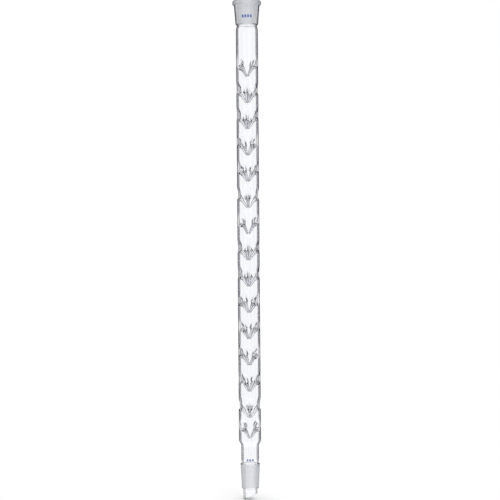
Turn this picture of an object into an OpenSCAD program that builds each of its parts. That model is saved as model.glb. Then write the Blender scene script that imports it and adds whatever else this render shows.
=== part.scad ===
// Fractionating column for distilling: one straight glass tube between two
// ground tapered joints, with tiers of hollow glass fingers drawn in from its
// wall. Millimetres, +Z up. The origin is on the axis, at the wide end of the
// lower ground cone, which is where the mouth of a flask's socket comes.

/* [Ground joints] */
// Diameter of both ground tapers at their wide end
joint_d = 24; // [22:0.5:26]
// Length of both ground tapers
joint_len = 29; // [20:1:45]
// Length in which a ground taper changes by 1 mm in diameter
taper_run = 10; // [8:1:20]
// Height of the small bevel between the cone's wide end and the neck
cone_bevel = 1; // [0.5:0.1:2]
// Height of the round end below the cone's ground length
cone_end = 1.6; // [1:0.1:3]

/* [Socket] */
// Wall of the socket at its narrow end
socket_wall = 3.6; // [2.5:0.1:5]
// How much thicker the socket's wall is under the rim than at its narrow end
socket_swell = 0.4; // [0:0.1:1]
// Height of the socket's rounded foot, below its ground length
socket_foot = 2; // [1:0.1:4]
// Outer diameter of the beaded rim
rim_od = 36; // [34:0.5:42]
// Height of the beaded rim
rim_h = 5.6; // [4:0.1:8]
// Radius of the rim's rounded edges
rim_round = 1.8; // [1:0.1:1.9]

/* [Tube] */
// Outer diameter of the column's tube
tube_od = 27.5; // [26:0.5:34]
// Wall of the tube
tube_wall = 1.6; // [1.2:0.1:1.8]
// Length of tube between the top tier and the socket's weld
upper_len = 26.6; // [15:0.1:80]
// How much the weld below the socket is narrower than the tube
weld_pinch = 2.4; // [1:0.1:3]
// Height of that weld
weld_h = 5.6; // [4:0.1:10]

/* [Tiers of fingers] */
// Number of tiers
tier_count = 15; // [3:1:20]
// Height of one tier
tier_pitch = 32.8; // [30:0.1:48]
// How much closer the lowest tier stands to the one above it than the others do
last_rise = 7; // [0:0.1:8]
// Fingers in a tier
finger_count = 4; // [3:1:4]
// Height of the fingers' tips above the bottom of their tier
tip_rise = 1.5; // [1:0.1:3]
// How far a finger falls from the middle of its mouth to its tip
finger_drop = 16.4; // [13:0.1:18]
// Outer diameter of a finger where it leaves the wall
finger_root_d = 5.8; // [5:0.1:6.4]
// Outer diameter of a finger at its tip
finger_tip_d = 2.4; // [2:0.1:3.2]
// Glass thickness of a finger
finger_wall = 0.7; // [0.5:0.05:0.8]
// Gap between the tips of neighbouring fingers
tip_gap = 0.3; // [0.2:0.1:1]
// Outer diameter of the flare where a finger runs into the wall
mouth_d = 7; // [6.6:0.1:8.4]
// Length of that flare along the finger
mouth_len = 3.4; // [2:0.1:5]
// How far the edge of a mouth lies in from the tube's outside
mouth_sink = 0.4; // [0.2:0.05:0.6]
// How far hand work leaves a finger's mouth higher or lower than the others
hand_rise = 0.8; // [0:0.1:1.2]
// How many degrees hand work leaves a finger off its even place in the ring
hand_turn = 4; // [0:1:6]

/* [Lower end] */
// Height of the shoulder between the tube and the neck
shoulder_h = 8; // [5:0.5:16]
// Outer diameter of the neck above the cone
neck_od = 21.8; // [19:0.1:23]
// Wall of the neck
neck_wall = 1.6; // [1.2:0.1:2]
// Length of the neck from the cone's wide end to the shoulder
neck_len = 22; // [12:0.5:60]
// Outer diameter of the drip tip
tip_od = 17.5; // [14:0.1:18.5]
// Wall of the drip tip
tip_wall = 1.5; // [1.2:0.1:2]
// Length of the drip tip on its short side, below the cone's end
tip_short = 5.7; // [4:0.1:20]
// Length of the drip tip on its long side, below the cone's end
tip_long = 13.2; // [12:0.1:40]

/* [Printed marks] */
// Thickness of the fired enamel
enamel_t = 0.15; // [0.1:0.05:0.3]
// Bars on the socket
socket_bars = 4; // [2:1:5]
// Bars on the neck
neck_bars = 3; // [2:1:4]
// Width of one bar of a mark
bar_w = 2.2; // [1:0.1:3]
// Distance between the middles of neighbouring bars
bar_pitch = 3.4; // [3.2:0.1:4]
// Height of a bar on the socket
socket_bar_h = 3.6; // [1:0.1:5]
// Height of a bar on the neck
neck_bar_h = 2; // [1:0.1:4]
// Height of the socket's mark above the bottom of the ground length
socket_mark_up = 6; // [2:0.5:14]
// Height of the neck's mark above the cone's wide end
neck_mark_up = 5; // [2:0.5:9]

/* [Hidden] */
// How far each tier's ring of fingers is turned about the axis, in degrees
TIER_TURN = [52, 75, 72, 30, 63, 0, 50, 74, 76, 28, 62, 32, 64, 2, 45];

joint_r = joint_d / 2;
ground_loss = joint_len / taper_run / 2;
neck_r = neck_od / 2;
neck_bore = neck_r - neck_wall;
tip_r = tip_od / 2;
tip_bore = tip_r - tip_wall;
tube_r = tube_od / 2;
tube_bore = tube_r - tube_wall;
weld_r = tube_r - weld_pinch / 2;
rim_r = rim_od / 2;

neck_top = neck_len;
tiers_bottom = neck_top + shoulder_h;
tiers_top = tiers_bottom + tier_count * tier_pitch - last_rise;
upper_top = tiers_top + upper_len;
weld_top = upper_top + weld_h;
ground_bottom = weld_top + socket_foot;
rim_top = ground_bottom + joint_len;
rim_bottom = rim_top - rim_h;
cone_bottom = -joint_len;
end_bottom = cone_bottom - cone_end;

socket_end_r = joint_r - ground_loss;
socket_foot_r = socket_end_r + socket_wall;
socket_head_r = joint_r + socket_wall + socket_swell;

finger_r = finger_root_d / 2;
finger_tip_r = finger_tip_d / 2;
mouth_r = mouth_d / 2;
tip_place = (finger_tip_d + tip_gap) / 2 / sin(180 / finger_count);
finger_reach = tube_r - tip_place;
finger_len = sqrt(finger_reach * finger_reach + finger_drop * finger_drop);
// A tier's length of tube starts just below the lowest of its fingers' mouths.
mouth_half = mouth_r * finger_len / finger_reach;
tube_start = tip_rise + finger_tip_r + finger_drop - hand_rise - mouth_half;

// Straight runs in a soft curve, in a round corner and in a finger's tip
curve_steps = 10;
corner_steps = 6;
tip_steps = 3;
// Angle at which the round of a finger's tip leaves the axis
tip_from = -70;
// Edge of the blocks that cut the drip tip and the marks
cut = 40;
$fn = 96;

GLASS = [0.86, 0.92, 0.96, 0.45];
GROUND = [0.84, 0.86, 0.89, 0.9];
ENAMEL = [0.30, 0.42, 0.74];

// Height of the bottom of tier k. The lowest tier stands closer to its neighbour.
function tier_bottom(k) = tiers_top - k * tier_pitch + (k == tier_count ? last_rise : 0);

// Name of a piece of tier k, counted from the top.
function tier_name(piece, k) = str(piece, "_tier_", k < 10 ? "0" : "", k);

// Points from one radius and height to another along a soft S.
function soft(r0, z0, r1, z1) = [
    for (i = [0:curve_steps])
        let (t = i / curve_steps)
        [r0 + (r1 - r0) * (1 - cos(180 * t)) / 2, z0 + (z1 - z0) * t]
];

// Points along a round corner, from one angle to another in a few steps.
function corner(r, z, radius, from, to, steps) = [
    for (i = [0:steps])
        let (a = from + (to - from) * i / steps)
        [r + radius * cos(a), z + radius * sin(a)]
];

// Points along a quarter round that starts level and ends upright.
function quarter(r0, z0, r1, z1) = [
    for (i = [0:corner_steps])
        let (a = 90 * i / corner_steps)
        [r0 + (r1 - r0) * sin(a), z1 + (z0 - z1) * cos(a)]
];

// Radius of a ground taper at a height above its narrow end.
function ground_r(narrow_r, up) = narrow_r + up / taper_run / 2;

// Glass turned about the axis between an outer and an inner outline, both
// listed from the bottom up.
module turned(outer, inner) {
    rotate_extrude()
        polygon(concat(outer, [for (i = [len(inner) - 1:-1:0]) inner[i]]));
}

// Beaded rim round the socket's mouth.
module socket_rim() {
    low = ground_r(socket_end_r, rim_bottom - ground_bottom);
    color(GROUND)
        turned(
            concat(
                [[socket_head_r, rim_bottom]],
                corner(rim_r - rim_round, rim_bottom + rim_round, rim_round, -90, 0, corner_steps),
                corner(rim_r - rim_round, rim_top - rim_round, rim_round, 0, 90, corner_steps)
            ),
            [[low, rim_bottom], [joint_r, rim_top]]
        );
}

// Socket with a ground taper inside, from its rounded foot to the rim.
module ground_socket() {
    high = ground_r(socket_end_r, rim_bottom - ground_bottom);
    color(GROUND)
        turned(
            concat(
                soft(weld_r, weld_top, socket_foot_r, ground_bottom),
                [[socket_head_r, rim_bottom]]
            ),
            [
                [weld_r - tube_wall, weld_top],
                [socket_end_r, ground_bottom],
                [high, rim_bottom]
            ]
        );
}

// Weld where the socket is fused to the tube.
module socket_weld() {
    color(GLASS)
        turned(
            soft(tube_r, upper_top, weld_r, weld_top),
            soft(tube_bore, upper_top, weld_r - tube_wall, weld_top)
        );
}

// Straight length of the column's tube between two heights.
module plain_tube(from, to) {
    turned([[tube_r, from], [tube_r, to]], [[tube_bore, from], [tube_bore, to]]);
}

// Plain end of the tube below the socket, where a clamp holds the column.
module upper_tube() {
    color(GLASS)
        plain_tube(tiers_top + tube_start, upper_top);
}

// A finger's solid of revolution, thinned by a wall, with the middle of its
// round tip at the origin and its mouth up along Z.
module finger_form(thin) {
    // The flare runs on past the wall for its own length again.
    end = finger_len + mouth_len;
    end_r = mouth_r + mouth_r - finger_r;
    rotate_extrude()
        polygon(concat(
            [[0, thin - finger_tip_r]],
            corner(0, 0, finger_tip_r - thin, tip_from, 0, tip_steps),
            [
                [finger_r - thin, finger_len - mouth_len],
                [end_r - thin, end],
                [0, end]
            ]
        ));
}

// Puts a finger form in its place: side j of tier k, leaning in and down.
module in_place(k, j) {
    turn = TIER_TURN[(k - 1) % len(TIER_TURN)];
    off = hand_turn * sin(137 * k + 71 * j);
    rise = hand_rise * sin(101 * k + 157 * j);
    lean = atan2(finger_reach, finger_drop + rise);
    rotate([0, 0, turn + off + 360 * j / finger_count])
        translate([tip_place, 0, tip_rise + finger_tip_r])
            rotate([0, lean, 0])
                children();
}

// Length of tube with the mouths of one tier's fingers, from just below them.
module tube_tier(k) {
    color(GLASS)
        difference() {
            plain_tube(tier_bottom(k) + tube_start, tier_bottom(k - 1) + tube_start);
            translate([0, 0, tier_bottom(k)])
                for (j = [0:finger_count - 1])
                    in_place(k, j) finger_form(0);
        }
}

// One tier's ring of hollow fingers, open to the outside of the tube.
module fingers_tier(k) {
    color(GLASS)
        translate([0, 0, tier_bottom(k)])
            for (j = [0:finger_count - 1])
                intersection() {
                    cylinder(r = tube_r - mouth_sink, h = tier_pitch);
                    in_place(k, j)
                        difference() {
                            finger_form(0);
                            finger_form(finger_wall);
                        }
                }
}

// Plain end of the tube above the shoulder.
module lower_tube() {
    color(GLASS)
        plain_tube(tiers_bottom, tiers_bottom + tube_start);
}

// Shoulder where the tube narrows to the neck.
module lower_shoulder() {
    color(GLASS)
        turned(
            soft(neck_r, neck_top, tube_r, tiers_bottom),
            soft(neck_bore, neck_top, tube_bore, tiers_bottom)
        );
}

// Neck between the shoulder and the ground cone.
module lower_neck() {
    color(GLASS)
        turned(
            [[neck_r, cone_bevel], [neck_r, neck_top]],
            [[neck_bore, cone_bevel], [neck_bore, neck_top]]
        );
}

// Ground cone that seats in a flask's socket.
module ground_cone() {
    color(GROUND)
        turned(
            concat(
                quarter(tip_r, end_bottom, joint_r - ground_loss, cone_bottom),
                [[joint_r, 0], [neck_r, cone_bevel]]
            ),
            [[tip_bore, end_bottom], [tip_bore, cone_bottom], [neck_bore, cone_bevel]]
        );
}

// Drip tip, cut off at a slant so that drops leave from one side.
module drip_tip() {
    slant = atan2(tip_long - tip_short, tip_od);
    middle = end_bottom - (tip_long + tip_short) / 2;
    color(GLASS)
        difference() {
            turned(
                [[tip_r, end_bottom - tip_long], [tip_r, end_bottom]],
                [[tip_bore, end_bottom - tip_long], [tip_bore, end_bottom]]
            );
            translate([0, 0, middle])
                rotate([0, -slant, 0])
                    translate([-cut / 2, -cut / 2, -cut])
                        cube(cut);
        }
}

// A row of plain bars facing -Y, at a height on the glass.
module bars(count, z, h) {
    for (i = [0:count - 1])
        translate([(i - (count - 1) / 2) * bar_pitch - bar_w / 2, -cut, z])
            cube([bar_w, cut, h]);
}

// Blue enamel bars fired on the socket.
module socket_mark() {
    run = rim_bottom - ground_bottom;
    color(ENAMEL)
        intersection() {
            turned(
                [[socket_foot_r + enamel_t, ground_bottom], [socket_head_r + enamel_t, rim_bottom]],
                [[socket_foot_r, ground_bottom], [socket_head_r, rim_bottom]]
            );
            bars(socket_bars, ground_bottom + socket_mark_up, socket_bar_h);
        }
}

// Blue enamel bars fired on the neck.
module neck_mark() {
    color(ENAMEL)
        intersection() {
            turned(
                [[neck_r + enamel_t, cone_bevel], [neck_r + enamel_t, neck_top]],
                [[neck_r, cone_bevel], [neck_r, neck_top]]
            );
            bars(neck_bars, neck_mark_up, neck_bar_h);
        }
}

socket_rim();
ground_socket();
socket_weld();
upper_tube();
for (k = [1:tier_count]) {
    tube_tier(k);
    fingers_tier(k);
}
lower_tube();
lower_shoulder();
lower_neck();
ground_cone();
drip_tip();
socket_mark();
neck_mark();
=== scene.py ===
# %% [markdown]
# # A distilling column in clear glass
#
# The object is one long glass tube. A ground socket is fused to its top and a ground cone with a
# slanted drip tip to its foot, and between them the wall is drawn in, ring by ring, to hollow fingers
# that point down to the axis. Vapour rises past the fingers and liquid runs back down over them.
#
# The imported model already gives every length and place, so it is loaded first as a fixed frame. Each
# step below makes a finer glass piece in its place: the smooth folds where a finger leaves the wall,
# the beaded rim and the ground tapers are what shows in clear glass, and plain solids lack them.

# %% Load the frame
import math
from types import SimpleNamespace

import bmesh
import bpy
from mathutils import Matrix, Vector


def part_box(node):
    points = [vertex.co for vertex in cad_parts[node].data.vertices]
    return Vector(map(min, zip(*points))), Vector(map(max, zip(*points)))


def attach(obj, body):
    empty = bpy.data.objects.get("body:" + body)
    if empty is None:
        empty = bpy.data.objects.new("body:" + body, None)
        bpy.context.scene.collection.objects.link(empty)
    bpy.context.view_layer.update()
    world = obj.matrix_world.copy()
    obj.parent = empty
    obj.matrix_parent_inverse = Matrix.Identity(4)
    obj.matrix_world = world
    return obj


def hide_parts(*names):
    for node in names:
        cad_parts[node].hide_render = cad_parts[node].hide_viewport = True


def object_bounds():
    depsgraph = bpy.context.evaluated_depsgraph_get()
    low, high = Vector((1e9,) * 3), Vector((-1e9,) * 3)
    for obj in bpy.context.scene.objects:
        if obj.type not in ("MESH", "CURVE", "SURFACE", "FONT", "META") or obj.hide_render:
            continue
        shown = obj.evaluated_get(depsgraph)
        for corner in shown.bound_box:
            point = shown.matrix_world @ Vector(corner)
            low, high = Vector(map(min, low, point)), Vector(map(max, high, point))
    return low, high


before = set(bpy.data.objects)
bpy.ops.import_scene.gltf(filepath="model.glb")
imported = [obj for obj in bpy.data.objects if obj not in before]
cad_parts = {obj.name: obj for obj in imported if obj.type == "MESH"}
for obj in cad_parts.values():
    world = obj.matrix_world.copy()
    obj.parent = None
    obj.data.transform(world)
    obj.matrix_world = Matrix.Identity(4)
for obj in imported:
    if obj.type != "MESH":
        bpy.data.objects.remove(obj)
cad_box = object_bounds()
print("CAD box in metres:", [[round(x, 4) for x in corner] for corner in cad_box])

# %% [markdown]
# ## The column's own sizes
#
# Heights and outer radii come from the frame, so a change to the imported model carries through. The
# thickness of the glass can't be read from a box, so it is given here, as a glassblower would know it
# from the tubing.

# %% Read heights and radii from the frame
MM = 0.001


def bottom(node):
    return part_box(node)[0].z


def top(node):
    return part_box(node)[1].z


def outer(node):
    """Outer radius of a node on the axis."""
    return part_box(node)[1].x


tube_r = outer("upper_tube")
neck_r = outer("lower_neck")
cone_r = outer("ground_cone")
tip_r = outer("drip_tip")
rim_r = outer("socket_rim")
TUBE_WALL = 1.6 * MM
TIP_WALL = 1.5 * MM
TAPER = 1 / 20      # a ground taper gains this much radius for each unit of height
GROUND_LEN = 29 * MM
tube_bore = tube_r - TUBE_WALL
neck_bore = neck_r - TUBE_WALL
tip_bore = tip_r - TIP_WALL
cone_end_r = cone_r - GROUND_LEN * TAPER
print(f"tube {2 * tube_r / MM:.1f} mm, neck {2 * neck_r / MM:.1f} mm, rim {2 * rim_r / MM:.1f} mm")

# %% [markdown]
# ## Turning glass on a lathe
#
# A glassblower fuses and shapes round parts while they turn in a lathe, so every round length here is
# spun too: a closed section, with an outer and an inner side, goes once round the axis. The section
# could also be made as a curve with a Screw modifier, but the spin operator gives the mesh at once,
# and its faces can be sorted afterwards into clear glass, ground glass and fused joints.
#
# Soft changes of width follow a cosine, because warm glass pulls itself into such a curve.

# %% Outlines and the lathe
STEPS = 96
CURVE_POINTS = 12
SHARP = math.radians(32)


def soft(r0, z0, r1, z1):
    """Points of a soft S from one radius and height to another."""
    parts = [i / CURVE_POINTS for i in range(CURVE_POINTS + 1)]
    return [(r0 + (r1 - r0) * (1 - math.cos(math.pi * t)) / 2, z0 + (z1 - z0) * t) for t in parts]


def round_corner(r, z, radius, start, end, points=8):
    """Points of an arc about (r, z), from one angle to another in degrees."""
    angles = [math.radians(start + (end - start) * i / points) for i in range(points + 1)]
    return [(r + radius * math.cos(a), z + radius * math.sin(a)) for a in angles]


def mark_sharp(bm):
    """Keeps an edge where the surface turns by more than a soft fold does."""
    for edge in bm.edges:
        if edge.calc_face_angle(0) > SHARP:
            edge.smooth = False


def turn_glass(outside, inside):
    """Spins glass between an outer and an inner outline, both listed from the bottom up."""
    bm = bmesh.new()
    section = outside + inside[::-1]
    line = [bm.verts.new((r, 0, z)) for r, z in section]
    edges = [bm.edges.new(pair) for pair in zip(line, line[1:] + line[:1])]
    bmesh.ops.spin(bm, geom=line + edges, cent=(0, 0, 0), axis=(0, 0, 1), angle=2 * math.pi,
                   steps=STEPS, use_merge=True)
    bmesh.ops.recalc_face_normals(bm, faces=bm.faces)
    mark_sharp(bm)
    return bm


# %% [markdown]
# ## What the glass is made of
#
# The real column is one fused piece, so light must not meet a surface where two of these pieces touch.
# The touching faces stay, which keeps every piece closed, and they get a material that lets all light
# through. The eye then sees one length of glass.
#
# Faces are sorted by where they lie and which way they face: a ground taper is rough, the fingers are
# folded glass, and everything else is plain and clear. The four material places are numbered here.

# %% Sort faces and finish a piece
CLEAR, FUSED, GROUND, FOLDED = 0, 1, 2, 3
glass = {}


def mark_fused(bm, *heights):
    """Faces that lie flat at one of these heights touch the next length of glass."""
    for face in bm.faces:
        if any(all(abs(v.co.z - z) < 0.01 * MM for v in face.verts) for z in heights):
            face.material_index = FUSED


def mark_ground(bm, low, high, facing):
    """Wall faces between two heights that face out from the axis (1) or in to it (-1) are ground."""
    for face in bm.faces:
        middle = face.calc_center_median()
        if low < middle.z < high and facing * face.normal.xy.dot(middle.xy.normalized()) > 0.9:
            face.material_index = GROUND


def finish_glass(name, bm, slot, *nodes):
    """Makes the object from its mesh, on the column's body, in place of CAD nodes."""
    for face in bm.faces:
        face.smooth = True
    mesh = bpy.data.meshes.new(name)
    bm.to_mesh(mesh)
    bm.free()
    piece = bpy.data.objects.new(name, mesh)
    bpy.context.scene.collection.objects.link(piece)
    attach(piece, "root")
    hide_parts(*nodes)
    glass[name] = piece
    print(f"{name}: {len(mesh.polygons)} faces, stands for {', '.join(nodes)}")
    return piece


# %% [markdown]
# ## The socket
#
# The top of the column is a thick socket, ground inside to a taper of 1 in 10 so that a still head's
# cone seats in it gas tight. Its mouth has a beaded rim, left by the tool that opens it. Rim and
# socket are turned from their own sections. The rim's round edges are arcs, because in clear glass
# every edge that catches light reads as a line.

# %% Beaded rim
RIM_ROUND = 1.8 * MM
FOOT_WALL = 3.6 * MM
FOOT_H = 2 * MM
rim_low, rim_high = bottom("socket_rim"), top("socket_rim")
foot_low = bottom("ground_socket")
ground_low = foot_low + FOOT_H
head_r = outer("ground_socket")


def socket_taper(z):
    """Radius of the socket's ground bore at a height."""
    return cone_r - (rim_high - z) * TAPER


bead = [(head_r, rim_low)]
bead += round_corner(rim_r - RIM_ROUND, rim_low + RIM_ROUND, RIM_ROUND, -90, 0)
bead += round_corner(rim_r - RIM_ROUND, rim_high - RIM_ROUND, RIM_ROUND, 0, 90)
rim = turn_glass(bead, [(socket_taper(rim_low), rim_low), (cone_r, rim_high)])
for face in rim.faces:
    flat = all(abs(v.co.z - rim_low) < 0.01 * MM for v in face.verts)
    joined = flat and face.calc_center_median().xy.length < head_r
    face.material_index = FUSED if joined else GROUND
finish_glass("socket_rim_glass", rim, "ground_glass", "socket_rim")

# %% Ground socket with its foot
weld_r = outer("socket_weld") - 1.2 * MM
foot_r = socket_taper(ground_low) + FOOT_WALL
socket = turn_glass(
    soft(weld_r, foot_low, foot_r, ground_low) + [(head_r, rim_low)],
    soft(weld_r - TUBE_WALL, foot_low, socket_taper(ground_low), ground_low)
    + [(socket_taper(rim_low), rim_low)])
mark_ground(socket, ground_low, rim_low, -1)
mark_fused(socket, foot_low, rim_low)
finish_glass("socket_glass", socket, "ground_glass", "ground_socket")

# %% [markdown]
# ## Weld, plain tube, shoulder and neck
#
# Under the socket the tube is drawn in a little where the two were fused. The plain tube above the
# fingers is where a clamp holds the column. At the foot the tube narrows over a soft shoulder to the
# neck. All are short lengths of the same wall, so one helper turns them from an outer outline and a
# wall thickness. The glass folds near the end of a tier's CAD node, where its fingers leave the wall,
# so the finer lengths of tube meet a little lower, on plain wall.


# %% Plain lengths of tube
SEAM_DROP = 4.1 * MM


def tube_length(name, node, outline, wall):
    """A length of tube between the heights of its CAD node, fused at both ends."""
    bm = turn_glass(outline, [(r - wall, z) for r, z in outline])
    mark_fused(bm, outline[0][1], outline[-1][1])
    return finish_glass(name, bm, "clear_glass", node)


tube_length("weld_glass", "socket_weld",
            soft(tube_r, bottom("socket_weld"), weld_r, foot_low), TUBE_WALL)
tube_length("upper_tube_glass", "upper_tube",
            [(tube_r, bottom("upper_tube") - SEAM_DROP), (tube_r, top("upper_tube"))], TUBE_WALL)
tube_length("lower_tube_glass", "lower_tube",
            [(tube_r, bottom("lower_tube")), (tube_r, top("lower_tube") - SEAM_DROP)], TUBE_WALL)
tube_length("shoulder_glass", "lower_shoulder",
            soft(neck_r, bottom("lower_shoulder"), tube_r, top("lower_shoulder")), TUBE_WALL)
tube_length("neck_glass", "lower_neck",
            [(neck_r, bottom("lower_neck")), (neck_r, top("lower_neck"))], TUBE_WALL)

# %% [markdown]
# ## The ground cone
#
# The cone is thick glass, ground outside to the same taper as the socket. Its wide end meets the neck
# over a small bevel, and its narrow end is melted round so that it doesn't chip in the flask.

# %% Ground cone
CONE_ROUND = 1.2 * MM
bevel_top = top("ground_cone")
cone_bottom = -GROUND_LEN
cone_low = bottom("ground_cone")
outside = [(tip_r, cone_low)]
outside += round_corner(cone_end_r - CONE_ROUND, cone_low + CONE_ROUND, CONE_ROUND, -90, 0)
outside += [(cone_end_r, cone_bottom), (cone_r, 0), (neck_r, bevel_top)]
cone = turn_glass(outside, [(tip_bore, cone_low), (tip_bore, cone_bottom), (neck_bore, bevel_top)])
mark_ground(cone, cone_bottom, 0, 1)
mark_fused(cone, bevel_top)
for face in cone.faces:
    flat = all(abs(v.co.z - cone_low) < 0.01 * MM for v in face.verts)
    if flat and face.calc_center_median().xy.length < tip_r:
        face.material_index = FUSED
finish_glass("cone_glass", cone, "ground_glass", "ground_cone")

# %% [markdown]
# ## The drip tip
#
# The tube below the cone is cut off at a slant, so that every drop leaves from the long side and falls
# clear of the flask's neck. The tip is turned as a plain tube, cut by a slanted plane with bisect, and
# the two cut loops are bridged to a new end face. A small bevel then melts its edges round, as the
# flame does.

# %% Cut and melt the drip tip
tip_low, tip_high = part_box("drip_tip")
TIP_SHORT = 5.7 * MM
MELT = 0.45 * MM
rise = (tip_high.z - TIP_SHORT) - tip_low.z
tip = turn_glass([(tip_r, tip_low.z - rise), (tip_r, tip_high.z)],
                 [(tip_bore, tip_low.z - rise), (tip_bore, tip_high.z)])
cut_middle = Vector((0, 0, tip_low.z + rise / 2))
cut_normal = Vector((-rise, 0, 2 * tip_r)).normalized()
bmesh.ops.bisect_plane(tip, geom=tip.verts[:] + tip.edges[:] + tip.faces[:], plane_co=cut_middle,
                       plane_no=cut_normal, clear_inner=True)
loops = [e for e in tip.edges if e.is_boundary]
end_face = bmesh.ops.bridge_loops(tip, edges=loops)["faces"]
end_edges = [e for e in loops if e.is_valid]
bmesh.ops.bevel(tip, geom=end_edges, offset=MELT, affect="EDGES", segments=4, profile=0.5, material=-1)
bmesh.ops.recalc_face_normals(tip, faces=tip.faces)
mark_sharp(tip)
mark_fused(tip, tip_high.z)
finish_glass("drip_tip_glass", tip, "clear_glass", "drip_tip")

# %% [markdown]
# ## Fingers drawn into the wall
#
# Each tier has four hollow fingers. The glassblower heats a spot of the wall and pushes it in and
# down with a pointed rod, so the wall itself becomes a finger, open to the room and closed to the
# vapour. The hot wall sags in above the mouth and springs back below it, which leaves a dent that ends
# at a sharp lower lip.
#
# Such a fold has two skins: the room touches one and the vapour the other. Each skin starts as a
# plain turned sheet. A patch of its faces is laid onto an oval, the mouth, and then the patch is inset
# again and again, each ring a little further down the finger, so that the sheet grows into the finger
# without a seam. A boolean with a tapered rod would be quicker, but it leaves a hard edge where clear
# glass shows a soft fold.

# %% Where a tier's fingers stand
TIER_TURN = (52, 75, 72, 30, 63, 0, 50, 74, 76, 28, 62, 32, 64, 2, 45)
FINGERS = 4
TIP_R = 1.2 * MM
TIP_GAP = 0.3 * MM
DROP = 18.2 * MM
HAND_TURN = 4
HAND_RISE = 0.8 * MM
tip_place = (2 * TIP_R + TIP_GAP) / 2 / math.sin(math.pi / FINGERS)
reach = tube_r - tip_place


def finger_places(tier):
    """Turn about the axis in radians and height above its fellows of each finger, made by hand."""
    places = []
    for n in range(FINGERS):
        off = HAND_TURN * math.sin(math.radians(137 * tier + 71 * n))
        rise = HAND_RISE * math.sin(math.radians(101 * tier + 157 * n))
        places.append((math.radians(TIER_TURN[tier - 1] + off + 360 / FINGERS * n), rise))
    return places


print(f"a finger reaches {reach / MM:.1f} mm in and drops {DROP / MM:.1f} mm")

# %% The two skins of the glass
# A ring on a finger is given by its distance from the wall, its widening, and how upright it stands,
# from 1 (in line with the wall) to 0 (square to the finger). Sizes are in millimetres until scaled.
room_skin = SimpleNamespace(
    radius=tube_r, top=1.5, bottom=-7.4, half=3.5, root=2.15, tip=0.5,
    fold=((5.6, 1.1, 1), (6.8, 1.06, 0.95), (8.4, 1, 0.7), (10.2, 1, 0.4), (12.2, 1, 0.12)))
vapour_skin = SimpleNamespace(
    radius=tube_bore, top=1.2, bottom=-9.3, half=4.2, root=2.85, tip=1.2,
    fold=((8.4, 1.1, 1), (9.4, 1.04, 0.95), (10.8, 1, 0.7), (12.4, 1, 0.4), (14.2, 1, 0.12)))
SHANK_RINGS = 4
for skin in (room_skin, vapour_skin):
    for size in ("top", "bottom", "half", "root", "tip"):
        setattr(skin, size, getattr(skin, size) * MM)
    skin.fold = [(along * MM, wide, upright) for along, wide, upright in skin.fold]
print("rings on a finger:", len(room_skin.fold) + SHANK_RINGS)

# %% The dent in the wall above a mouth
DENT = 2.5 * MM
DENT_HALF = 8 * MM


def ease(t):
    """Goes softly from 0 to 1 as t does."""
    t = max(0.0, min(1.0, t))
    return t * t * (3 - 2 * t)


def dent_depth(aside, above):
    """How far the wall sags in, at a distance to the side of and above a mouth's middle."""
    across = max(0.0, 1 - (aside / DENT_HALF) ** 2) ** 2
    onset = ease((8 * MM - above) / (12.4 * MM))
    lip = ease((above + 8 * MM) / (2.6 * MM))
    return DENT * across * onset * lip


# %% A sheet of wall with its mouths marked out
ROUND = 48              # faces round the sheet; one level of subdivision makes 96 of them
ROWS = 24               # faces up the sheet
PATCH_ACROSS = 2        # half the patch's width in faces
PATCH_UP = 4            # half its height in faces
SETTLE = 15
COLUMN = 2 * math.pi / ROUND


def turned_by(angle):
    """The same angle, between minus and plus half a turn."""
    return (angle + math.pi) % (2 * math.pi) - math.pi


def mouth_of(skin, tier_tip, turn, rise):
    """The finger's axis, and its mouth's middle and size on one skin."""
    drop = DROP + rise
    slope = math.atan2(reach, drop)
    start_z = tier_tip + drop
    inward = Vector((-math.cos(turn), -math.sin(turn), 0))
    up = Vector((0, 0, 1))
    return SimpleNamespace(
        turn=turn, sin=math.sin(slope), cos=math.cos(slope), length=math.hypot(reach, drop),
        start=-inward * tube_r + up * start_z, start_z=start_z,
        z=start_z + (skin.top + skin.bottom) / 2, half_up=(skin.top - skin.bottom) / 2,
        along=inward * math.sin(slope) - up * math.cos(slope),
        side=Vector((-math.sin(turn), math.cos(turn), 0)),
        over=inward * math.cos(slope) + up * math.sin(slope))


def lay_mouth(bm, skin, number, mouth, low, row, layers):
    """Moves a patch of the sheet's faces onto the mouth's oval and marks its corners."""
    turn0 = round(mouth.turn / COLUMN) * COLUMN
    z0 = low + round((mouth.z - low) / row) * row
    patch = []
    for face in bm.faces:
        middle = face.calc_center_median()
        aside = abs(turned_by(math.atan2(middle.y, middle.x) - turn0))
        if aside < PATCH_ACROSS * COLUMN and abs(middle.z - z0) < PATCH_UP * row:
            patch.append(face)
    for vert in {v for face in patch for v in face.verts}:
        u = turned_by(math.atan2(vert.co.y, vert.co.x) - turn0) / (PATCH_ACROSS * COLUMN)
        w = (vert.co.z - z0) / (PATCH_UP * row)
        out = max(abs(u), abs(w))
        if out < 1e-5:
            round_by = 0.0
        elif abs(u) >= abs(w):
            round_by = (0 if u > 0 else math.pi) + math.pi / 4 * w / u
        else:
            round_by = (0.5 if w > 0 else 1.5) * math.pi - math.pi / 4 * u / w
        vert[layers.out] = out
        vert[layers.round_by] = round_by
        vert[layers.finger] = number
        turn = mouth.turn + skin.half * math.cos(round_by) * out / skin.radius
        vert.co = (skin.radius * math.cos(turn), skin.radius * math.sin(turn),
                   mouth.z + mouth.half_up * math.sin(round_by) * out)


# %% Settle and dent the sheet
def put_back(vert, radius):
    """Moves a corner straight in or out to a radius."""
    scale = radius / vert.co.xy.length
    vert.co.x *= scale
    vert.co.y *= scale


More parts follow.
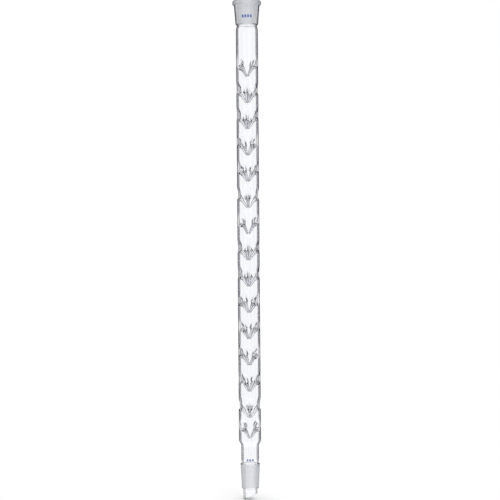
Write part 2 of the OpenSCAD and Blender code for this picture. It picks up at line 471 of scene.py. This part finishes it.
def settle_sheet(bm, skin, mouths, low, high, layers):
    """Evens out the faces round the mouths, then sags the wall in above each of them."""
    between = [v for v in bm.verts if low + 0.001 * MM < v.co.z < high - 0.001 * MM]
    free = [v for v in between if v[layers.finger] == 0]
    for _ in range(SETTLE):
        bmesh.ops.smooth_vert(bm, verts=free, factor=0.5, use_axis_x=True, use_axis_y=True,
                              use_axis_z=True)
        for vert in free:
            put_back(vert, skin.radius)
    for vert in between:
        turn = math.atan2(vert.co.y, vert.co.x)
        depth = sum(dent_depth(turned_by(turn - m.turn) * tube_r, vert.co.z - m.start_z)
                    for m in mouths)
        depth *= ease(min(vert.co.z - low, high - vert.co.z) / (3 * MM))
        put_back(vert, skin.radius - depth)


# %% Grow a finger out of its mouth
def grow_finger(bm, skin, number, mouth, layers):
    """Insets the mouth's patch ring by ring down the finger, and rounds its tip."""
    last = skin.fold[-1][0]
    step = (mouth.length - last) / SHANK_RINGS
    rings = skin.fold + [(last + step * (i + 1), 1, 0) for i in range(SHANK_RINGS)]
    cap = [f for f in bm.faces if all(v[layers.finger] == number for v in f.verts)]
    for along, wide, upright in rings:
        ring_faces = bmesh.ops.inset_region(bm, faces=cap, thickness=0.05 * MM,
                                            use_even_offset=False)["faces"]
        for face in ring_faces + cap:
            face.material_index = FOLDED
        radius = (skin.root + (skin.tip - skin.root) * along / mouth.length) * wide
        at_tip = along == rings[-1][0]
        for vert in {v for face in cap for v in face.verts}:
            out = vert[layers.out]
            part = math.sin(out * math.pi / 2) if at_tip else out
            bulge = skin.tip * math.cos(out * math.pi / 2) if at_tip else 0
            sine = math.sin(vert[layers.round_by])
            cosine = math.cos(vert[layers.round_by])
            back = upright * radius * mouth.cos / mouth.sin * sine * part
            ring = mouth.side * cosine + mouth.over * sine
            vert.co = mouth.start + mouth.along * (along - back + bulge) + ring * radius * part


def tier_skin(skin, tier, low, high, tier_tip):
    """One skin of a tier: a plain sheet with four fingers grown from it."""
    bm = bmesh.new()
    bm.verts.layers.float.new("out")
    bm.verts.layers.float.new("round_by")
    bm.verts.layers.int.new("finger")
    layers = SimpleNamespace(out=bm.verts.layers.float["out"],
                             round_by=bm.verts.layers.float["round_by"],
                             finger=bm.verts.layers.int["finger"])
    row = (high - low) / ROWS
    line = [bm.verts.new((skin.radius, 0, low + row * i)) for i in range(ROWS + 1)]
    edges = [bm.edges.new(pair) for pair in zip(line, line[1:])]
    bmesh.ops.spin(bm, geom=line + edges, cent=(0, 0, 0), axis=(0, 0, 1), angle=2 * math.pi,
                   steps=ROUND, use_merge=True)
    mouths = [mouth_of(skin, tier_tip, turn, rise) for turn, rise in finger_places(tier)]
    for number, mouth in enumerate(mouths, 1):
        lay_mouth(bm, skin, number, mouth, low, row, layers)
    settle_sheet(bm, skin, mouths, low, high, layers)
    for number, mouth in enumerate(mouths, 1):
        grow_finger(bm, skin, number, mouth, layers)
    return bm


# %% [markdown]
# ## Join the skins
#
# The room's skin faces out of the wall and the vapour's skin faces in to the axis. Their open rims are
# bridged, which closes the tier, and the bridges are fused joints. The rims are creased and marked
# sharp, so that the subdivision which rounds the fingers leaves them round, and the smooth shading of
# the wall doesn't bend over them. Subdivision draws a ring of 48 corners in by a hair, so the tier is
# first swelled by as much, and its rims then meet the turned lengths exactly.

# %% Make the tiers
SWELL = 4 / (3 + math.cos(COLUMN))


def tier_glass(tier):
    """A tier of the column: a length of wall and its four fingers."""
    wall_node, finger_node = f"tube_tier_{tier:02d}", f"fingers_tier_{tier:02d}"
    low, high = bottom(wall_node) - SEAM_DROP, top(wall_node) - SEAM_DROP
    tier_tip = bottom(finger_node) + TIP_R
    bm = tier_skin(room_skin, tier, low, high, tier_tip)
    bmesh.ops.reverse_faces(bm, faces=bm.faces)
    inner = tier_skin(vapour_skin, tier, low, high, tier_tip)
    held = bpy.data.meshes.new("held")
    inner.to_mesh(held)
    inner.free()
    bm.from_mesh(held)
    bpy.data.meshes.remove(held)
    crease = bm.edges.layers.float.new("crease_edge")
    rims = []
    for z in (low, high):
        rim = [e for e in bm.edges if e.is_boundary and abs(e.verts[0].co.z - z) < 0.01 * MM]
        for face in bmesh.ops.bridge_loops(bm, edges=rim)["faces"]:
            face.material_index = FUSED
        rims += rim
    for edge in rims:
        edge[crease] = 1.0
        edge.smooth = False
    bmesh.ops.scale(bm, vec=(SWELL, SWELL, 1), verts=bm.verts)
    bmesh.ops.recalc_face_normals(bm, faces=bm.faces)
    piece = finish_glass(f"tier_{tier:02d}_glass", bm, "clear_glass", wall_node, finger_node)
    finer = piece.modifiers.new("round the folds", "SUBSURF")
    finer.levels = finer.render_levels = 1
    return piece


TIERS = len(TIER_TURN)
for number in range(1, TIERS + 1):
    tier_glass(number)


# %% [markdown]
# ## Enamel marks
#
# Small blue marks are fired onto the front of the socket and of the neck, where a maker puts the
# joint's size. Here they are plain bars. Each is a thin section spun through a small angle, so it
# bends with the glass, and its edges are bevelled because fired enamel lies in a soft, low bead.

# %% Bend the bars onto the glass
ENAMEL_T = 0.15 * MM
BAR_W = 2.2 * MM
BAR_PITCH = 3.4 * MM
FRONT = -math.pi / 2
SINK = 0.02 * MM


def enamel_bars(name, node, count, low_r, high_r):
    """A row of bars on a wall whose radius is low_r at their bottom and high_r at their top."""
    low, high = bottom(node), top(node)
    bm = bmesh.new()
    for i in range(count):
        before = set(bm.verts)
        bent = BAR_W / low_r
        ring = [(low_r - SINK, low), (low_r + ENAMEL_T, low), (high_r + ENAMEL_T, high),
                (high_r - SINK, high)]
        section = bm.faces.new([bm.verts.new((r, 0, z)) for r, z in ring])
        bmesh.ops.spin(bm, geom=[section] + section.edges[:] + section.verts[:], cent=(0, 0, 0),
                       axis=(0, 0, 1), angle=bent, steps=6, use_merge=False)
        new = [v for v in bm.verts if v not in before]
        start = FRONT - bent / 2 + (i - (count - 1) / 2) * BAR_PITCH / low_r
        bmesh.ops.rotate(bm, verts=new, cent=(0, 0, 0), matrix=Matrix.Rotation(start, 3, "Z"))
    bmesh.ops.recalc_face_normals(bm, faces=bm.faces)
    edges = [e for e in bm.edges if e.calc_face_angle(0) > SHARP]
    bmesh.ops.bevel(bm, geom=edges, offset=0.06 * MM, affect="EDGES", segments=2, profile=0.5,
                    material=-1)
    return finish_glass(name, bm, "enamel", node)


head_slope = (head_r - foot_r) / (rim_low - ground_low)
mark_low, mark_high = bottom("socket_mark"), top("socket_mark")
enamel_bars("socket_enamel", "socket_mark", 4, foot_r + (mark_low - ground_low) * head_slope,
            foot_r + (mark_high - ground_low) * head_slope)
enamel_bars("neck_enamel", "neck_mark", 3, neck_r, neck_r)

# %% [markdown]
# ## Surfaces
#
# Three finishes cover the column: fire polished glass, ground glass and fired enamel, and a fourth
# lets light through the fused joints. None of the real ones is perfectly even. Drawn tubing carries
# faint streaks along its length, and ground glass has a fine grain with faint rings from the
# rotating grinding cone. Both are noise on the object's own coordinates, stretched in one direction,
# so one node group makes them all and every finish sets its own scale and stretch.

# %% Build the uneven surface group


def uneven_group():
    """Noise on object coordinates, with a stretch and limits: a mask from 0 to 1, and a height."""
    group = bpy.data.node_groups.new("uneven_surface", "ShaderNodeTree")
    face = group.interface
    for label, kind, value in (("Scale", "NodeSocketFloat", 100.0), ("Detail", "NodeSocketFloat", 2.0),
                               ("Stretch", "NodeSocketVector", (1, 1, 1)),
                               ("Low", "NodeSocketFloat", 0.3), ("High", "NodeSocketFloat", 0.7)):
        face.new_socket(label, in_out="INPUT", socket_type=kind).default_value = value
    for label in ("Mask", "Height"):
        face.new_socket(label, in_out="OUTPUT", socket_type="NodeSocketFloat")
    nodes, links = group.nodes, group.links
    given, made = nodes.new("NodeGroupInput"), nodes.new("NodeGroupOutput")
    place = nodes.new("ShaderNodeTexCoord")
    stretch = nodes.new("ShaderNodeVectorMath")
    stretch.operation = "MULTIPLY"
    noise = nodes.new("ShaderNodeTexNoise")
    limits = nodes.new("ShaderNodeMapRange")
    links.new(place.outputs["Object"], stretch.inputs[0])
    links.new(given.outputs["Stretch"], stretch.inputs[1])
    links.new(stretch.outputs["Vector"], noise.inputs["Vector"])
    links.new(given.outputs["Scale"], noise.inputs["Scale"])
    links.new(given.outputs["Detail"], noise.inputs["Detail"])
    links.new(noise.outputs["Fac"], limits.inputs["Value"])
    links.new(given.outputs["Low"], limits.inputs["From Min"])
    links.new(given.outputs["High"], limits.inputs["From Max"])
    links.new(limits.outputs["Result"], made.inputs["Mask"])
    links.new(noise.outputs["Fac"], made.inputs["Height"])
    for i, node in enumerate((given, place, stretch, noise, limits, made)):
        node.location = (200 * i, 0)
    return group


uneven = uneven_group()
print("group outputs:", [item.name for item in uneven.interface.items_tree if item.in_out == "OUTPUT"])

# %% Helpers that wire a finish


def new_finish(name):
    """A material with its shader, and helpers' common parts."""
    material = bpy.data.materials.new(name)
    material.use_nodes = True
    return material, material.node_tree, material.node_tree.nodes["Principled BSDF"]


def add_uneven(tree, scale, stretch, low=0.3, high=0.7, detail=2.0):
    """Places the shared group with this finish's own values."""
    node = tree.nodes.new("ShaderNodeGroup")
    node.node_tree = uneven
    node.inputs["Scale"].default_value = scale
    node.inputs["Stretch"].default_value = stretch
    node.inputs["Low"].default_value = low
    node.inputs["High"].default_value = high
    node.inputs["Detail"].default_value = detail
    return node


def add_bump(tree, height, strength, distance, under=None):
    """A bump from a height, over another bump's normal where one is given."""
    bump = tree.nodes.new("ShaderNodeBump")
    bump.inputs["Strength"].default_value = strength
    bump.inputs["Distance"].default_value = distance
    tree.links.new(height, bump.inputs["Height"])
    if under:
        tree.links.new(under.outputs["Normal"], bump.inputs["Normal"])
    return bump


def add_ramp(tree, value, stops):
    """A colour ramp with the given places and colours."""
    ramp = tree.nodes.new("ShaderNodeValToRGB")
    while len(ramp.color_ramp.elements) < len(stops):
        ramp.color_ramp.elements.new(0.5)
    for element, (place, colour) in zip(ramp.color_ramp.elements, stops):
        element.position = place
        element.color = (*colour, 1)
    tree.links.new(value, ramp.inputs["Fac"])
    return ramp


# %% [markdown]
# ### Clear glass
#
# Clear glass in even light shows only where it is seen edge on: there the path through the wall is
# long and the light comes from the dark side of the room. That shade is painted here: a ramp on how
# much the surface faces the viewer darkens the glass's colour, a painted edge shade that deepens only
# near the edge. The fingers are the same glass, folded and drawn out, so more of it shows edge on.

# %% Clear glass, plain and folded


def polished_glass(name, stops):
    """Fire polished glass with a painted shade that darkens its colour toward its edges by a ramp's
    stops.
    """
    material, tree, shader = new_finish(name)
    shader.inputs["Transmission Weight"].default_value = 1
    shader.inputs["Roughness"].default_value = 0
    shader.inputs["IOR"].default_value = 1.47
    edge_on = tree.nodes.new("ShaderNodeLayerWeight")
    edge_on.inputs["Blend"].default_value = 0.5
    # Painted edge shade: this ramp turns the glass's colour dark where the surface is seen edge on.
    depth = add_ramp(tree, edge_on.outputs["Facing"], stops)
    tree.links.new(depth.outputs["Color"], shader.inputs["Base Color"])
    streaks = add_uneven(tree, 260, (1, 1, 0.08))
    ripple = add_bump(tree, streaks.outputs["Height"], 0.12, 0.1 * MM)
    tree.links.new(ripple.outputs["Normal"], shader.inputs["Normal"])
    return material


# The stops below paint the edge shade of plain and of folded glass.
clear = polished_glass("clear_glass", [
    (0.48, (0.985, 0.988, 1.0)), (0.55, (0.3, 0.31, 0.35)), (0.63, (0.02, 0.02, 0.03)),
    (1.0, (0.005, 0.005, 0.01))])
folded = polished_glass("folded_glass", [
    (0.1, (0.97, 0.973, 0.99)), (0.4, (0.55, 0.56, 0.6)), (0.62, (0.06, 0.06, 0.08)),
    (1.0, (0.01, 0.01, 0.015))])

# %% Ground glass
ground, tree, shader = new_finish("ground_glass")
shader.inputs["Transmission Weight"].default_value = 1
shader.inputs["IOR"].default_value = 1.47
grain = add_uneven(tree, 2600, (1, 1, 1), 0.25, 0.75)
rings = add_uneven(tree, 700, (0.04, 0.04, 1), 0.3, 0.7)
tint = add_ramp(tree, rings.outputs["Mask"], [(0, (0.76, 0.775, 0.81)), (1, (0.84, 0.85, 0.88))])
# Painted edge shade: a ramp on how much the surface faces the viewer darkens the ground glass's colour
# near its edges.
edge_on = tree.nodes.new("ShaderNodeLayerWeight")
edge_on.inputs["Blend"].default_value = 0.5
painted_edge_shade = add_ramp(tree, edge_on.outputs["Facing"], [(0.3, (1, 1, 1)), (0.7, (0.62, 0.63, 0.66)),
                                                   (1, (0.3, 0.3, 0.33))])
# The grinding rings' own tint is multiplied by the painted edge shade.
ring_tint_and_edge_shade = tree.nodes.new("ShaderNodeMix")
ring_tint_and_edge_shade.data_type = "RGBA"
ring_tint_and_edge_shade.blend_type = "MULTIPLY"
ring_tint_and_edge_shade.inputs["Factor"].default_value = 1
tree.links.new(tint.outputs["Color"], ring_tint_and_edge_shade.inputs["A"])
tree.links.new(painted_edge_shade.outputs["Color"], ring_tint_and_edge_shade.inputs["B"])
tree.links.new(ring_tint_and_edge_shade.outputs["Result"], shader.inputs["Base Color"])
rough = tree.nodes.new("ShaderNodeMapRange")
rough.inputs["To Min"].default_value = 0.42
rough.inputs["To Max"].default_value = 0.62
tree.links.new(grain.outputs["Mask"], rough.inputs["Value"])
tree.links.new(rough.outputs["Result"], shader.inputs["Roughness"])
grit = add_bump(tree, grain.outputs["Height"], 0.35, 0.05 * MM)
turned = add_bump(tree, rings.outputs["Height"], 0.15, 0.05 * MM, grit)
tree.links.new(turned.outputs["Normal"], shader.inputs["Normal"])

# %% Enamel, and the fused joints
enamel, tree, shader = new_finish("enamel")
patches = add_uneven(tree, 900, (1, 1, 1))
blue = add_ramp(tree, patches.outputs["Mask"], [(0, (0.05, 0.09, 0.3)), (1, (0.08, 0.13, 0.4))])
tree.links.new(blue.outputs["Color"], shader.inputs["Base Color"])
shader.inputs["Roughness"].default_value = 0.35
low_bead = add_bump(tree, patches.outputs["Height"], 0.2, 0.05 * MM)
tree.links.new(low_bead.outputs["Normal"], shader.inputs["Normal"])
fused, tree, shader = new_finish("fused_joint")
shader.inputs["Alpha"].default_value = 0

for name, piece in glass.items():
    if name.endswith("enamel"):
        piece.data.materials.append(enamel)
    else:
        for material in (clear, fused, ground, folded):
            piece.data.materials.append(material)
print("finishes on", len(glass), "pieces")

# %% [markdown]
# ## Floor, light and camera
#
# The column stands on its drip tip over a plain pale floor, in an even white room. A white room alone
# would leave clear glass almost invisible, so what the glass refracts and reflects comes from a room
# with soft darker bands, like the black cards that a photographer stands beside glass. The bands go
# round the room eight times, so the column looks alike from every side.

# %% The room
BANDS = 8
room = bpy.data.worlds.new("studio")
bpy.context.scene.world = room
room.use_nodes = True
tree = room.node_tree
backdrop = tree.nodes["Background"]
backdrop.inputs["Color"].default_value = (1, 1, 1, 1)


def room_math(operation, *values):
    """A Math node fed with links or plain numbers."""
    node = tree.nodes.new("ShaderNodeMath")
    node.operation = operation
    for socket, value in zip(node.inputs, values):
        if isinstance(value, (int, float)):
            socket.default_value = value
        else:
            tree.links.new(value, socket)
    return node.outputs[0]


toward = tree.nodes.new("ShaderNodeTexCoord")
parts = tree.nodes.new("ShaderNodeSeparateXYZ")
tree.links.new(toward.outputs["Generated"], parts.inputs[0])
heading = room_math("ARCTAN2", parts.outputs["X"], parts.outputs["Y"])
wave = room_math("COSINE", room_math("MULTIPLY", heading, BANDS))
bands = tree.nodes.new("ShaderNodeMapRange")
bands.inputs["From Min"].default_value = -1
bands.inputs["From Max"].default_value = -0.3
bands.inputs["To Min"].default_value = 0.35
bands.inputs["To Max"].default_value = 1
tree.links.new(wave, bands.inputs["Value"])
ray = tree.nodes.new("ShaderNodeLightPath")
mirrored = room_math("SUBTRACT", ray.outputs["Is Glossy Ray"], ray.outputs["Is Transmission Ray"])
dim = room_math("SUBTRACT", 1, room_math("MULTIPLY", room_math("MAXIMUM", mirrored, 0), 0.85))
seen = room_math("MULTIPLY", bands.outputs["Result"], dim)
plain = room_math("MAXIMUM", seen, ray.outputs["Is Camera Ray"])
strength = room_math("MAXIMUM", plain, room_math("MULTIPLY", ray.outputs["Is Diffuse Ray"], 1.25))
tree.links.new(strength, backdrop.inputs["Strength"])

# %% Floor and soft light
centre = (cad_box[0] + cad_box[1]) / 2
floor_mesh = bpy.data.meshes.new("pale_floor")
bm = bmesh.new()
bmesh.ops.create_circle(bm, cap_ends=True, segments=96, radius=0.3)
bmesh.ops.translate(bm, verts=bm.verts, vec=(0, 0, cad_box[0].z))
bm.to_mesh(floor_mesh)
bm.free()
floor = bpy.data.objects.new("pale_floor", floor_mesh)
bpy.context.scene.collection.objects.link(floor)
pale, tree, shader = new_finish("pale_floor")
shader.inputs["Base Color"].default_value = (0.9, 0.9, 0.9, 1)
shader.inputs["Roughness"].default_value = 0.7
floor_mesh.materials.append(pale)

softbox = bpy.data.lights.new("softbox", "AREA")
softbox.shape = "RECTANGLE"
softbox.size, softbox.size_y = 0.5, 1.2
softbox.energy = 2
lamp = bpy.data.objects.new("softbox", softbox)
lamp.location = (0.5, -1.1, 0.8)
lamp.rotation_euler = (centre - lamp.location).to_track_quat("-Z", "Y").to_euler()
bpy.context.scene.collection.objects.link(lamp)

# %% Camera
DISTANCE = 1.6
HIGH = 0.267
ASIDE = 0.0018
LEAN = math.radians(-0.45)
camera = bpy.data.objects.new("camera", bpy.data.cameras.new("camera"))
camera.location = (ASIDE, -DISTANCE, HIGH)
camera.rotation_euler = (Matrix.Rotation(math.pi / 2, 3, "X") @ Matrix.Rotation(LEAN, 3, "Z")).to_euler()
camera.data.sensor_fit = "VERTICAL"
camera.data.angle = math.radians(22.1)
bpy.context.scene.collection.objects.link(camera)
scene = bpy.context.scene
scene.camera = camera
scene.view_settings.view_transform = "Standard"
scene.cycles.max_bounces = 32
scene.cycles.transmission_bounces = 32
scene.cycles.transparent_max_bounces = 32

# %% Sizes, then the last line
print("CAD box ", [[round(x, 4) for x in corner] for corner in cad_box])
